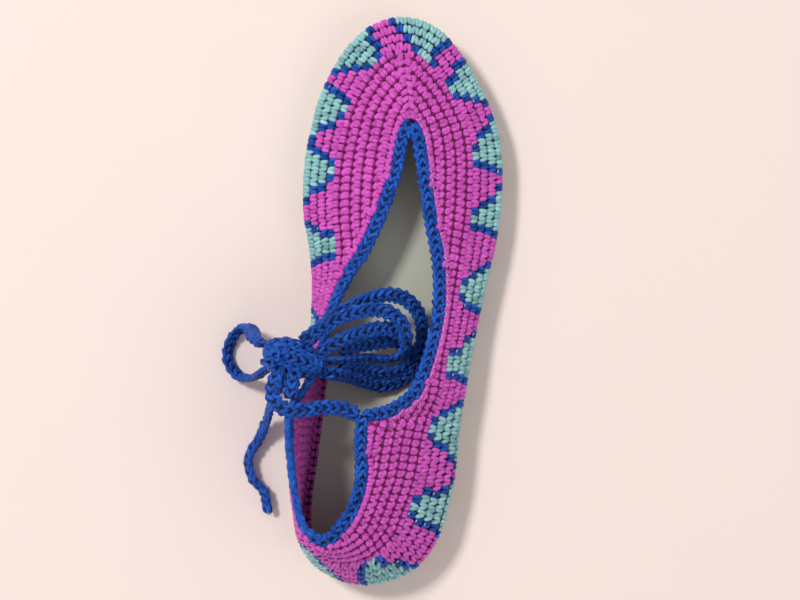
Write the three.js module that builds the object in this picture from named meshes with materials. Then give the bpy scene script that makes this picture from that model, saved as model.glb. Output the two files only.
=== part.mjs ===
import * as THREE from 'three';

// A crocheted slip-on shoe with tie closure, right foot, worn size 38 (European).
// Y runs from heel to toe, +X is the outer (lateral) side, Z is up, the floor is Z = 0.

// Driving dimensions in millimetres.
const LENGTH = 252;
const BALL_WIDTH = 88;
const INSTEP_HEIGHT = 30;
const COLLAR_HEIGHT = 56;
const WALL = 3;
const SOLE_THICKNESS = 6;
const HEEL_LIFT = 3;
const TOE_SPRING = 5;
const ARCH_LIFT = 1.5;
const SOLE_INSET = 2;
const TREAD_BEVEL = 2.2;
const SIDE_LEDGE = 0.9;
const INSOLE_THICKNESS = 2.5;
const FEATHER_INSET = 6;
const BULGE_RISE = 6.5;
const EDGING_WIDTH = 5.5;
const EDGING_THICKNESS = 3.6;
const TIE_WIDTH = 6;
const TIE_THICKNESS = 3;
const GAP = 0.3;

// How finely the curved forms are faceted.
const STEPS_PER_SECTION = 3;
const BULGE_STEPS = 3;
const SIDE_STEPS = 6;
const EDGING_SIDES = 8;
const TIE_SIDES = 8;
const TIE_STEP = 9;

// One row for each section through the upper, from toe to heel, the same count on both sides.
// along and edgeAlong are shares of LENGTH from the heel, side and edgeSide are shares of BALL_WIDTH.
// along and side give the outline. edgeAlong and edgeSide give the edging's centre line, and rise goes
// from 0 at INSTEP_HEIGHT to 1 at COLLAR_HEIGHT. A row without an edge ends on the ridge over the toes.
const LATERAL = [
  { along: 0.985, side: 0.170 },
  { along: 0.938, side: 0.309 },
  { along: 0.884, side: 0.415 },
  { along: 0.840, side: 0.477 },
  { along: 0.808, side: 0.513, edgeAlong: 0.788, edgeSide: 0.108, rise: 0.03 },
  { along: 0.768, side: 0.537, edgeAlong: 0.748, edgeSide: 0.135, rise: 0.01 },
  { along: 0.703, side: 0.549, edgeAlong: 0.693, edgeSide: 0.171, rise: -0.02 },
  { along: 0.643, side: 0.543, edgeAlong: 0.637, edgeSide: 0.205, rise: -0.05 },
  { along: 0.579, side: 0.518, edgeAlong: 0.579, edgeSide: 0.248, rise: -0.06 },
  { along: 0.492, side: 0.477, edgeAlong: 0.492, edgeSide: 0.266, rise: -0.05 },
  { along: 0.413, side: 0.447, edgeAlong: 0.413, edgeSide: 0.234, rise: 0.03 },
  { along: 0.365, side: 0.432, edgeAlong: 0.345, edgeSide: 0.168, rise: 0.24 },
  { along: 0.333, side: 0.421, edgeAlong: 0.312, edgeSide: 0.045, rise: 0.52 },
  { along: 0.306, side: 0.413, edgeAlong: 0.300, edgeSide: -0.066, rise: 0.77 },
  { along: 0.278, side: 0.406, edgeAlong: 0.268, edgeSide: -0.077, rise: 0.76 },
  { along: 0.218, side: 0.401, edgeAlong: 0.198, edgeSide: -0.062, rise: 0.70 },
  { along: 0.151, side: 0.377, edgeAlong: 0.148, edgeSide: -0.091, rise: 0.70 },
  { along: 0.081, side: 0.323, edgeAlong: 0.114, edgeSide: -0.143, rise: 0.77 },
  { along: 0.026, side: 0.199, edgeAlong: 0.095, edgeSide: -0.188, rise: 0.86 },
];
const HEEL = { along: 0, side: -0.034, edgeAlong: 0.090, edgeSide: -0.231, rise: 0.94 };
const MEDIAL = [
  { along: 0.983, side: -0.153 },
  { along: 0.940, side: -0.278 },
  { along: 0.881, side: -0.366 },
  { along: 0.839, side: -0.407 },
  { along: 0.804, side: -0.424, edgeAlong: 0.783, edgeSide: 0.030, rise: 0.02 },
  { along: 0.766, side: -0.442, edgeAlong: 0.742, edgeSide: 0.016, rise: 0.00 },
  { along: 0.708, side: -0.451, edgeAlong: 0.692, edgeSide: -0.017, rise: -0.02 },
  { along: 0.643, side: -0.438, edgeAlong: 0.635, edgeSide: -0.068, rise: -0.04 },
  { along: 0.587, side: -0.400, edgeAlong: 0.583, edgeSide: -0.128, rise: -0.05 },
  { along: 0.524, side: -0.374, edgeAlong: 0.530, edgeSide: -0.210, rise: -0.04 },
  { along: 0.444, side: -0.364, edgeAlong: 0.456, edgeSide: -0.282, rise: 0.03 },
  { along: 0.385, side: -0.352, edgeAlong: 0.389, edgeSide: -0.307, rise: 0.26 },
  { along: 0.341, side: -0.348, edgeAlong: 0.343, edgeSide: -0.364, rise: 0.58 },
  { along: 0.306, side: -0.350, edgeAlong: 0.306, edgeSide: -0.423, rise: 0.86 },
  { along: 0.262, side: -0.358, edgeAlong: 0.262, edgeSide: -0.420, rise: 1.00 },
  { along: 0.198, side: -0.370, edgeAlong: 0.198, edgeSide: -0.392, rise: 1.08 },
  { along: 0.135, side: -0.382, edgeAlong: 0.151, edgeSide: -0.361, rise: 1.08 },
  { along: 0.075, side: -0.364, edgeAlong: 0.115, edgeSide: -0.324, rise: 1.06 },
  { along: 0.024, side: -0.256, edgeAlong: 0.097, edgeSide: -0.275, rise: 1.00 },
];
const TOE = { along: 1, side: 0 };

// The throat's apex, where the edging turns, and the toe end of the ridge where the rows meet.
const APEX = { along: 0.808, side: 0.068, rise: 0.04 };
const RIDGE_TOE = { along: 0.938, side: 0.011, instep: 0.74 };
const RIDGE_ROWS = 4;

// A side wall rises a little from the bulge, then leans in by shares of its own run and rise.
const LOWER_RISE = 2.6;
const SHOULDER_RUN = 0.5;
const SHOULDER_RISE = 0.6;

// The sole's lift along the foot, as shares of LENGTH.
const TOE_LIFT_START = 0.76;
const HEEL_LIFT_END = 0.5;
const HEEL_LIFT_START = 0.3;
const ARCH_START = 0.34;
const ARCH_END = 0.6;

// The sole's side, from the tread up: inset as a share of what it names, up as a share of the thickness.
const SOLE_SIDE = [
  { bevel: 1, step: 0, up: 0 },
  { bevel: 0.3, step: 0, up: 0.2 },
  { bevel: 0, step: 0, up: 0.36 },
  { bevel: 0, step: 0, up: 0.62 },
  { bevel: 0, step: 1, up: 0.7 },
  { bevel: 0, step: 1, up: 1 },
];

const sections = [TOE, ...LATERAL, HEEL, ...MEDIAL.slice().reverse()];
const sectionCount = sections.length;
const stationCount = sectionCount * STEPS_PER_SECTION;
const ridgeStations = RIDGE_ROWS * STEPS_PER_SECTION;

const smooth = (value) => {
  const t = THREE.MathUtils.clamp(value, 0, 1);
  return t * t * (3 - 2 * t);
};

// The pattern's middle across the shoe, so that the model stands centred over its origin.
const widest = Math.max(...LATERAL.map((row) => row.side));
const narrowest = Math.min(...MEDIAL.map((row) => row.side));
const MIDDLE_SIDE = (widest + narrowest) / 2;
const placed = (along, side, up) => new THREE.Vector3(
  (side - MIDDLE_SIDE) * BALL_WIDTH, (along - 0.5) * LENGTH, up,
);
const riseHeight = (rise) => THREE.MathUtils.lerp(INSTEP_HEIGHT, COLLAR_HEIGHT, rise);
const shareAlong = (y) => y / LENGTH + 0.5;

const outlineCurve = new THREE.CatmullRomCurve3(
  sections.map((row) => placed(row.along, row.side, 0)), true, 'centripetal',
);
const edgeCurve = new THREE.CatmullRomCurve3([
  placed(APEX.along, APEX.side, riseHeight(APEX.rise)),
  ...sections.filter((row) => row.edgeAlong !== undefined)
    .map((row) => placed(row.edgeAlong, row.edgeSide, riseHeight(row.rise))),
], true, 'centripetal');
const edgeSections = sectionCount - 2 * RIDGE_ROWS;

function soleBottom(y) {
  const share = shareAlong(y);
  const toe = Math.max(0, (share - TOE_LIFT_START) / (1 - TOE_LIFT_START));
  const arch = smooth((share - ARCH_START) / 0.08) * smooth((ARCH_END - share) / 0.08);
  return TOE_SPRING * toe * toe + ARCH_LIFT * arch;
}

function soleTop(y) {
  const share = shareAlong(y);
  const toe = Math.max(0, (share - TOE_LIFT_START) / (1 - TOE_LIFT_START));
  const heel = smooth((HEEL_LIFT_END - share) / (HEEL_LIFT_END - HEEL_LIFT_START));
  return SOLE_THICKNESS + TOE_SPRING * toe * toe + HEEL_LIFT * heel;
}

// A point on the outline, moved in by inset at right angles to it. station counts sections from the toe.
function outlinePoint(station, inset) {
  const share = ((station / sectionCount) % 1 + 1) % 1;
  const point = outlineCurve.getPoint(share);
  const outward = outlineOutward(share);
  return point.addScaledVector(outward, -inset);
}

function outlineOutward(share) {
  const tangent = outlineCurve.getTangent(share);
  return new THREE.Vector3(-tangent.y, tangent.x, 0).normalize();
}

// The fullest point of a section, above the outline.
function bulgePoint(station) {
  const point = outlinePoint(station, 0);
  point.z = soleTop(point.y) + GAP + BULGE_RISE;
  return point;
}

function shoulderPoint(bulge, end) {
  return new THREE.Vector3(
    THREE.MathUtils.lerp(bulge.x, end.x, SHOULDER_RUN),
    THREE.MathUtils.lerp(bulge.y, end.y, SHOULDER_RUN),
    THREE.MathUtils.lerp(bulge.z, end.z, SHOULDER_RISE),
  );
}

// The edging's centre, its direction, the way back into the wall and the way out of the surface.
function edgeFrame(station) {
  const share = (station - RIDGE_ROWS) / edgeSections;
  const centre = edgeCurve.getPoint(share);
  const tangent = edgeCurve.getTangent(share);
  const shoulder = shoulderPoint(bulgePoint(station), centre);
  const flat = new THREE.Vector3(-tangent.y, tangent.x, 0).normalize();
  const toShoulder = shoulder.sub(centre);
  const run = Math.sign(toShoulder.dot(flat)) * Math.hypot(toShoulder.x, toShoulder.y);
  const back = flat.multiplyScalar(run);
  back.z = toShoulder.z;
  back.addScaledVector(tangent, -back.dot(tangent)).normalize();
  const outward = new THREE.Vector3().crossVectors(tangent, back);
  return { centre, tangent, back, outward };
}

function wallEdge(station) {
  const { centre, back, outward } = edgeFrame(station);
  return centre.clone()
    .addScaledVector(back, EDGING_WIDTH / 2 + GAP)
    .addScaledVector(outward, WALL / 2);
}

// Where a section ends: on the ridge over the toes, or at the wall's own edge round the opening.
function sectionEnd(station) {
  const fromToe = Math.min(station, sectionCount - station);
  if (fromToe > RIDGE_ROWS) return wallEdge(station);
  const toeEnd = placed(RIDGE_TOE.along, RIDGE_TOE.side, RIDGE_TOE.instep * INSTEP_HEIGHT);
  return toeEnd.lerp(wallEdge(RIDGE_ROWS), fromToe / RIDGE_ROWS);
}

// One section of the upper's outside, from where it turns under on the sole up to its end.
function sectionPoints(station) {
  const foot = outlinePoint(station, FEATHER_INSET);
  const bulge = bulgePoint(station);
  const outward = outlineOutward(((station / sectionCount) % 1 + 1) % 1);
  const end = sectionEnd(station);
  const points = [];
  for (let step = 0; step < BULGE_STEPS; step += 1) {
    const angle = (step / BULGE_STEPS) * Math.PI / 2;
    const point = foot.clone().addScaledVector(outward, FEATHER_INSET * Math.sin(angle));
    point.z = bulge.z - BULGE_RISE * Math.cos(angle);
    points.push(point);
  }
  const lower = bulge.clone();
  lower.z += LOWER_RISE;
  const side = new THREE.CubicBezierCurve3(bulge, lower, shoulderPoint(bulge, end), end);
  points.push(...side.getPoints(SIDE_STEPS));
  return points;
}

// A closed band of sections, thickened inward along its normals and closed at its edges.
function upperGeometry() {
  const rowEnd = BULGE_STEPS + SIDE_STEPS;
  const rowSize = rowEnd + 1;
  const outside = [];
  for (let i = 0; i < stationCount; i += 1) {
    outside.push(...sectionPoints(i / STEPS_PER_SECTION));
  }
  const isRidgeCopy = (i) => i >= stationCount - ridgeStations;
  const vertex = (i, j) => {
    const wrapped = (i + stationCount) % stationCount;
    if (j === rowEnd && isRidgeCopy(wrapped)) return (stationCount - wrapped) * rowSize + j;
    return wrapped * rowSize + j;
  };
  const skin = [];
  for (let i = 0; i < stationCount; i += 1) {
    for (let j = 0; j < rowEnd; j += 1) {
      skin.push(vertex(i, j), vertex(i, j + 1), vertex(i + 1, j));
      skin.push(vertex(i, j + 1), vertex(i + 1, j + 1), vertex(i + 1, j));
    }
  }
  const surface = new THREE.BufferGeometry();
  surface.setAttribute('position', new THREE.Float32BufferAttribute(outside.flatMap((p) => p.toArray()), 3));
  surface.setIndex(skin);
  surface.computeVertexNormals();
  const normals = surface.getAttribute('normal');
  const wallOutward = (index) => {
    const i = Math.floor(index / rowSize);
    const j = index % rowSize;
    if (j === 0) return new THREE.Vector3(0, 0, -1);
    const onEdge = i >= ridgeStations && i <= stationCount - ridgeStations;
    if (j === rowEnd && onEdge) return edgeFrame(i / STEPS_PER_SECTION).outward;
    return new THREE.Vector3().fromBufferAttribute(normals, index);
  };
  const inside = outside.map((point, index) => point.clone().addScaledVector(wallOutward(index), -WALL));

  const inner = outside.length;
  const faces = [...skin];
  for (let k = 0; k < skin.length; k += 3) {
    faces.push(inner + skin[k], inner + skin[k + 2], inner + skin[k + 1]);
  }
  for (let i = 0; i < stationCount; i += 1) {
    const here = vertex(i, 0);
    const next = vertex(i + 1, 0);
    faces.push(here, next, inner + next);
    faces.push(here, inner + next, inner + here);
  }
  for (let i = ridgeStations; i < stationCount - ridgeStations; i += 1) {
    const here = vertex(i, rowEnd);
    const next = vertex(i + 1, rowEnd);
    faces.push(next, here, inner + here);
    faces.push(next, inner + here, inner + next);
  }
  return indexedGeometry([...outside, ...inside], faces);
}

// A geometry from points and faces, without the points that no face uses.
function indexedGeometry(points, faces) {
  const used = new Map();
  const kept = [];
  const index = faces.map((old) => {
    if (!used.has(old)) {
      used.set(old, kept.length);
      kept.push(points[old]);
    }
    return used.get(old);
  });
  const solid = [];
  for (let k = 0; k < index.length; k += 3) {
    const [a, b, c] = index.slice(k, k + 3);
    if (a !== b && b !== c && c !== a) solid.push(a, b, c);
  }
  const geometry = new THREE.BufferGeometry();
  geometry.setAttribute('position', new THREE.Float32BufferAttribute(kept.flatMap((p) => p.toArray()), 3));
  geometry.setIndex(solid);
  geometry.computeVertexNormals();
  return geometry;
}

// A solid from rings that follow the outline, stacked from the lowest up, with laddered end faces.
function stackedGeometry(rings) {
  const size = rings[0].length;
  const points = rings.flat();
  const faces = [];
  for (let level = 0; level + 1 < rings.length; level += 1) {
    for (let i = 0; i < size; i += 1) {
      const next = (i + 1) % size;
      const low = level * size;
      const high = low + size;
      faces.push(low + i, high + i, low + next);
      faces.push(high + i, high + next, low + next);
    }
  }
  const top = (rings.length - 1) * size;
  for (let i = 0; i < size / 2; i += 1) {
    const across = (size - i) % size;
    const acrossNext = size - i - 1;
    faces.push(i, i + 1, acrossNext, i, acrossNext, across);
    faces.push(top + i, top + acrossNext, top + i + 1, top + i, top + across, top + acrossNext);
  }
  return indexedGeometry(points, faces);
}

function outlineRing(inset, height) {
  const ring = [];
  for (let i = 0; i < stationCount; i += 1) {
    const point = outlinePoint(i / STEPS_PER_SECTION, inset);
    point.z = height(point.y);
    ring.push(point);
  }
  return ring;
}

function outsoleGeometry() {
  return stackedGeometry(SOLE_SIDE.map((row) => outlineRing(
    SOLE_INSET + row.bevel * TREAD_BEVEL + row.step * SIDE_LEDGE,
    (y) => THREE.MathUtils.lerp(soleBottom(y), soleTop(y), row.up),
  )));
}

function insoleGeometry() {
  const inset = FEATHER_INSET + GAP;
  return stackedGeometry([
    outlineRing(inset, (y) => soleTop(y) + GAP),
    outlineRing(inset, (y) => soleTop(y) + GAP + INSOLE_THICKNESS),
  ]);
}

// The edging is a closed oval tube round the opening, seated against the wall's edge.
function edgingGeometry() {
  const ringCount = edgeSections * STEPS_PER_SECTION;
  const points = [];
  for (let i = 0; i < ringCount; i += 1) {
    const { centre, back, outward } = edgeFrame(RIDGE_ROWS + i / STEPS_PER_SECTION);
    for (let side = 0; side < EDGING_SIDES; side += 1) {
      const angle = (side / EDGING_SIDES) * 2 * Math.PI;
      points.push(centre.clone()
        .addScaledVector(back, Math.cos(angle) * EDGING_WIDTH / 2)
        .addScaledVector(outward, Math.sin(angle) * EDGING_THICKNESS / 2));
    }
  }
  const faces = [];
  for (let i = 0; i < ringCount; i += 1) {
    for (let side = 0; side < EDGING_SIDES; side += 1) {
      const here = i * EDGING_SIDES;
      const next = ((i + 1) % ringCount) * EDGING_SIDES;
      const turned = (side + 1) % EDGING_SIDES;
      faces.push(here + side, here + turned, next + side);
      faces.push(here + turned, next + turned, next + side);
    }
  }
  return indexedGeometry(points, faces);
}

// The flat ties, as points chosen along each free stretch, from the heel's end of the length and
// from the model's middle, with heights above the floor.
const TIES = {
  tie_outer: [
    [-8.4, 76.5, 50.4], [-15, 79, 50.6], [-22, 79.4, 52.4], [-29.5, 78.2, 55.4], [-37.5, 77.4, 58.2], [-43.8, 80.6, 57],
    [-45.6, 86.4, 53.6], [-43.4, 94.3, 50.2],
  ],
  tie_inner: [[-37.6, 82.2, 54.6], [-37.2, 87, 53.4], [-36.6, 92.7, 51.3]],
  loop_outer: [
    [-32.8, 106.3, 45.5], [-23.6, 116.4, 44.2], [-14, 123, 41], [-5, 127.6, 37.4], [3.6, 129, 33],
    [11.2, 126, 28], [15.8, 119.6, 23], [17, 110.4, 18.5], [15.4, 100.4, 15.4], [10.4, 92, 14.8],
    [3, 88.4, 16.4], [-5.4, 89.6, 22.4], [-13.6, 92.2, 31.6], [-19.6, 93.2, 40.9], [-25.8, 94.4, 44.6],
  ],
  loop_inner: [
    [-27.3, 102.4, 48.1], [-18, 108, 47], [-10, 112, 43.6], [-1.6, 114.2, 38.6], [5.4, 113.6, 33],
    [9.8, 109.4, 28], [9, 103.6, 24.4], [3.2, 100.6, 23], [-5, 100.8, 27], [-13, 100.2, 35], [-18.6, 99.4, 41],
    [-26.2, 98.6, 44.7],
  ],
  loop_middle: [
    [-18, 96.4, 38.2], [-12.5, 96.2, 32.4], [-5, 95.2, 24.6], [3, 94.6, 19.6], [9, 96.4, 18], [12.2, 101.4, 17.8],
    [10.6, 106.6, 18], [5, 108.8, 20.5], [-3, 107.6, 26], [-11, 106, 32.6], [-18, 104.6, 38.6],
  ],
  loop_medial: [
    [-50.5, 103.6, 44.9], [-55.4, 106, 38], [-57.4, 108.2, 27], [-60, 110.6, 15], [-64.4, 109.6, 5.6],
    [-69, 103, 3.1], [-69.4, 94.6, 3.1], [-64.6, 88.4, 3.4], [-58.6, 87.8, 9.6], [-54.4, 89.6, 20],
    [-51.6, 92, 31], [-45.2, 96.3, 42.6],
  ],
  end_long: [
    [-39.7, 93.2, 43], [-45, 83.6, 35], [-48, 75.8, 23], [-50, 69, 9.6], [-53.4, 60.4, 3.6],
    [-57.4, 51.6, 3.2], [-55.4, 42.6, 3.2], [-49.6, 36.4, 3.2], [-47.4, 28.4, 3.2],
  ],
  end_short: [
    [-34.3, 106.4, 50.4], [-27, 112.8, 50.6], [-18.5, 117.8, 49], [-10, 121.2, 46.4], [-2, 122.2, 42.6],
    [4.8, 119.8, 38.8], [8.8, 115.2, 36], [10, 110.2, 34.2],
  ],
};
const KNOT = { x: -38, y: 99.4, z: 46.8, length: 26, width: 15, height: 12, turn: -15 };

const tieSection = new THREE.Shape();
for (let side = 0; side < TIE_SIDES; side += 1) {
  const angle = ((side + 0.5) / TIE_SIDES) * 2 * Math.PI;
  const corner = [Math.cos(angle) * TIE_THICKNESS / 2, Math.sin(angle) * TIE_WIDTH / 2];
  if (side === 0) tieSection.moveTo(...corner);
  else tieSection.lineTo(...corner);
}
tieSection.closePath();

const tieOrigin = new THREE.Vector3(-MIDDLE_SIDE * BALL_WIDTH, -LENGTH / 2, 0);

function tieGeometry(points) {
  const route = points.map((point) => new THREE.Vector3(...point).add(tieOrigin));
  const path = new THREE.CatmullRomCurve3(route, false, 'centripetal');
  const steps = Math.ceil(path.getLength() / TIE_STEP);
  return new THREE.ExtrudeGeometry(tieSection, { extrudePath: path, steps, bevelEnabled: false });
}

function knotGeometry() {
  const ball = new THREE.SphereGeometry(0.5, 12, 8);
  ball.scale(KNOT.length, KNOT.width, KNOT.height);
  return ball;
}

const yarn = (color) => new THREE.MeshStandardMaterial({ color, roughness: 0.85, metalness: 0 });
const materials = {
  magenta: yarn(0xb8348f),
  blue: yarn(0x1d3f8f),
  lining: new THREE.MeshStandardMaterial({ color: 0xc9c3b0, roughness: 0.5, metalness: 0 }),
  rubber: new THREE.MeshStandardMaterial({ color: 0xcdbfa6, roughness: 0.75, metalness: 0 }),
};

const group = new THREE.Group();

function addPiece(name, geometry, material) {
  const mesh = new THREE.Mesh(geometry, material);
  mesh.name = name;
  group.add(mesh);
  return mesh;
}

addPiece('outsole', outsoleGeometry(), materials.rubber);
addPiece('insole', insoleGeometry(), materials.lining);
addPiece('upper', upperGeometry(), materials.magenta);
addPiece('edging', edgingGeometry(), materials.blue);
for (const [name, points] of Object.entries(TIES)) {
  addPiece(name, tieGeometry(points), materials.blue);
}
const knot = addPiece('knot', knotGeometry(), materials.blue);
knot.position.set(KNOT.x, KNOT.y, KNOT.z).add(tieOrigin);
knot.rotation.z = THREE.MathUtils.degToRad(KNOT.turn);

export default group;
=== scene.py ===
"""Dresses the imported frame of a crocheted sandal: yarn stitches, ties, lining, sole and stage.

Y runs from heel to toe, +X is the outer side, Z is up, and all tables are in millimetres.
"""

import math

import bmesh
import bpy
import numpy as np
from bpy.props import FloatProperty, FloatVectorProperty, IntProperty, PointerProperty
from mathutils import Matrix, Vector


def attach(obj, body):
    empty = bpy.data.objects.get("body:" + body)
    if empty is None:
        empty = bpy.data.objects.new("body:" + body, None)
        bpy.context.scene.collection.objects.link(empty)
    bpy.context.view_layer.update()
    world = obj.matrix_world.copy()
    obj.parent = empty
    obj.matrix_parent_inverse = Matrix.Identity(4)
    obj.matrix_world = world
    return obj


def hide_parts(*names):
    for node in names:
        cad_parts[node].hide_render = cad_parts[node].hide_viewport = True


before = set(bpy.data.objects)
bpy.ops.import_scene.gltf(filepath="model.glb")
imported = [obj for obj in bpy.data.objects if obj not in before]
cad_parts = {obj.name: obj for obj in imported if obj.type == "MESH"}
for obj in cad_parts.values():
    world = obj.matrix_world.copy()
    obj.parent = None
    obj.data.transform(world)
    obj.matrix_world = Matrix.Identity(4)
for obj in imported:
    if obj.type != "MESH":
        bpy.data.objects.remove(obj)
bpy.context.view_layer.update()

bl_info = {
    "name": "Crocheted sandal",
    "version": (1, 0, 0),
    "blender": (4, 5, 0),
    "location": "3D View > Sidebar > Sandal",
    "description": "Dresses the packed sandal with yarn stitches, ties, lining, sole and a stage",
    "category": "Object",
}

MM = 0.001

# The part's own sizes and tables, as its source has them.
LENGTH = 252.0
BALL_WIDTH = 88.0
INSTEP_HEIGHT = 30.0
COLLAR_HEIGHT = 56.0
WALL = 3.0
SOLE_THICKNESS = 6.0
HEEL_LIFT = 3.0
TOE_SPRING = 5.0
FEATHER_INSET = 6.0
BULGE_RISE = 6.5
EDGING_WIDTH = 5.5
EDGING_THICKNESS = 3.6
TIE_WIDTH = 6.0
TIE_THICKNESS = 3.0
GAP = 0.3
RIDGE_ROWS = 4
LOWER_RISE = 2.6
SHOULDER_RUN = 0.5
SHOULDER_RISE = 0.6
HEEL_ROWS_WIDER = 0.32
HEEL_ROWS_START = 0.44
HEEL_ROWS_END = 0.10
HEEL_BACK_WIDER = 0.16
TOE_LIFT_START = 0.76
HEEL_LIFT_END = 0.5
HEEL_LIFT_START = 0.3

# (along, side) on the outline, and (along, side, rise) on the edging, from toe to heel.
LATERAL = (
    (0.985, 0.170), (0.938, 0.309), (0.884, 0.415), (0.840, 0.477),
    (0.808, 0.513, 0.788, 0.108, 0.03), (0.768, 0.537, 0.748, 0.135, 0.01),
    (0.703, 0.549, 0.693, 0.171, -0.02), (0.643, 0.543, 0.637, 0.205, -0.05),
    (0.579, 0.518, 0.579, 0.248, -0.06), (0.492, 0.477, 0.492, 0.266, -0.05),
    (0.413, 0.447, 0.413, 0.234, 0.03), (0.365, 0.432, 0.345, 0.168, 0.24),
    (0.333, 0.421, 0.312, 0.045, 0.52), (0.306, 0.413, 0.300, -0.066, 0.77),
    (0.278, 0.406, 0.268, -0.077, 0.76), (0.218, 0.401, 0.198, -0.062, 0.70),
    (0.151, 0.377, 0.148, -0.091, 0.70), (0.081, 0.323, 0.114, -0.143, 0.77),
    (0.026, 0.199, 0.095, -0.188, 0.86),
)
HEEL = (0.0, -0.034, 0.090, -0.231, 0.94)
MEDIAL = (
    (0.983, -0.153), (0.940, -0.278), (0.881, -0.366), (0.839, -0.407),
    (0.804, -0.424, 0.783, 0.030, 0.02), (0.766, -0.442, 0.742, 0.016, 0.00),
    (0.708, -0.451, 0.692, -0.017, -0.02), (0.643, -0.438, 0.635, -0.068, -0.04),
    (0.587, -0.400, 0.583, -0.128, -0.05), (0.524, -0.374, 0.530, -0.210, -0.04),
    (0.444, -0.364, 0.456, -0.282, 0.03), (0.385, -0.352, 0.389, -0.307, 0.26),
    (0.341, -0.348, 0.343, -0.364, 0.58), (0.306, -0.350, 0.306, -0.423, 0.86),
    (0.262, -0.358, 0.262, -0.420, 1.00), (0.198, -0.370, 0.198, -0.392, 1.08),
    (0.135, -0.382, 0.151, -0.361, 1.08), (0.075, -0.364, 0.115, -0.324, 1.06),
    (0.024, -0.256, 0.097, -0.275, 1.00),
)
TOE = (1.0, 0.0)
APEX = (0.808, 0.068, 0.04)
RIDGE_TOE = (0.938, 0.011, 0.74)
SECTIONS = (TOE, *LATERAL, HEEL, *reversed(MEDIAL))
MIDDLE_SIDE = (max(row[1] for row in LATERAL) + min(row[1] for row in MEDIAL)) / 2
TIE_ORIGIN = np.array([-MIDDLE_SIDE * BALL_WIDTH, -LENGTH / 2, 0.0])

# The ties' routes, as the part has them.
TIES = {
    "tie_outer": (
        (-8.4, 76.5, 50.4), (-15, 79, 50.6), (-22, 79.4, 52.4), (-29.5, 78.2, 55.4), (-37.5, 77.4, 58.2), (-43.8, 80.6, 57),
        (-45.6, 86.4, 53.6), (-43.4, 94.3, 50.2),
    ),
    "tie_inner": ((-37.6, 82.2, 54.6), (-37.2, 87, 53.4), (-36.6, 92.7, 51.3)),
    "loop_outer": (
        (-32.8, 106.3, 45.5), (-23.6, 116.4, 44.2), (-14, 123, 41), (-5, 127.6, 37.4), (3.6, 129, 33),
        (11.2, 126, 28), (15.8, 119.6, 23), (17, 110.4, 18.5), (15.4, 100.4, 15.4), (10.4, 92, 14.8),
        (3, 88.4, 16.4), (-5.4, 89.6, 22.4), (-13.6, 92.2, 31.6), (-19.6, 93.2, 40.9), (-25.8, 94.4, 44.6),
    ),
    "loop_inner": (
        (-27.3, 102.4, 48.1), (-18, 108, 47), (-10, 112, 43.6), (-1.6, 114.2, 38.6), (5.4, 113.6, 33),
        (9.8, 109.4, 28), (9, 103.6, 24.4), (3.2, 100.6, 23), (-5, 100.8, 27), (-13, 100.2, 35), (-18.6, 99.4, 41),
        (-26.2, 98.6, 44.7),
    ),
    "loop_middle": (
        (-18, 96.4, 38.2), (-12.5, 96.2, 32.4), (-5, 95.2, 24.6), (3, 94.6, 19.6), (9, 96.4, 18), (12.2, 101.4, 17.8),
        (10.6, 106.6, 18), (5, 108.8, 20.5), (-3, 107.6, 26), (-11, 106, 32.6), (-18, 104.6, 38.6),
    ),
    "loop_medial": (
        (-50.5, 103.6, 44.9), (-55.4, 106, 38), (-57.4, 108.2, 27), (-60, 110.6, 15), (-64.4, 109.6, 5.6),
        (-69, 103, 3.1), (-69.4, 94.6, 3.1), (-64.6, 88.4, 3.4), (-58.6, 87.8, 9.6), (-54.4, 89.6, 20),
        (-51.6, 92, 31), (-45.2, 96.3, 42.6),
    ),
    "end_long": (
        (-39.7, 93.2, 43), (-45, 83.6, 35), (-48, 75.8, 23), (-50, 69, 9.6), (-53.4, 60.4, 3.6),
        (-57.4, 51.6, 3.2), (-55.4, 42.6, 3.2), (-49.6, 36.4, 3.2), (-47.4, 28.4, 3.2),
    ),
    "end_short": (
        (-34.3, 106.4, 50.4), (-27, 112.8, 50.6), (-18.5, 117.8, 49), (-10, 121.2, 46.4), (-2, 122.2, 42.6),
        (4.8, 119.8, 38.8), (8.8, 115.2, 36), (10, 110.2, 34.2),
    ),
}
KNOT_CENTRE = (-38.0, 99.4, 46.8)
KNOT_SIZE = (26.0, 15.0, 12.0)
KNOT_TURN = -15.0

# Each triangle of the band: its apex from the heel's end and the part's middle line, and by how many
# stitches a row it widens towards the toe and towards the heel.
TRIANGLES = (
    ("lateral", 25.4, 221.6, 1.06, 0.36), ("lateral", 36.9, 194.9, 1.0, 0.36),
    ("lateral", 36.7, 164.8, 0.95, 0.38), ("lateral", 33.0, 132.3, 0.85, 0.4),
    ("lateral", 27.5, 100.1, 0.85, 0.54), ("lateral", 23.5, 72.0, 0.5, 0.9),
    ("lateral", 18.6, 37.2, 0.37, 0.85), ("lateral", 0.3, 8.7, 0.37, 0.85),
    ("medial", 11.0, 237.0, -0.2, 2.0), ("medial", -12.0, 232.0, 0.6, 1.1),
    ("medial", -23.6, 210.5, 0.45, 1.0), ("medial", -31.7, 181.5, 0.6, 0.9),
    ("medial", -31.6, 148.9, 0.4, 0.6), ("medial", -32.0, 114.0, 0.5, 0.9),
    ("medial", -32.0, 80.0, 0.5, 0.9), ("medial", -31.5, 46.0, 0.5, 0.9),
    ("medial", -29.5, 13.3, 0.5, 0.9),
)


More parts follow.
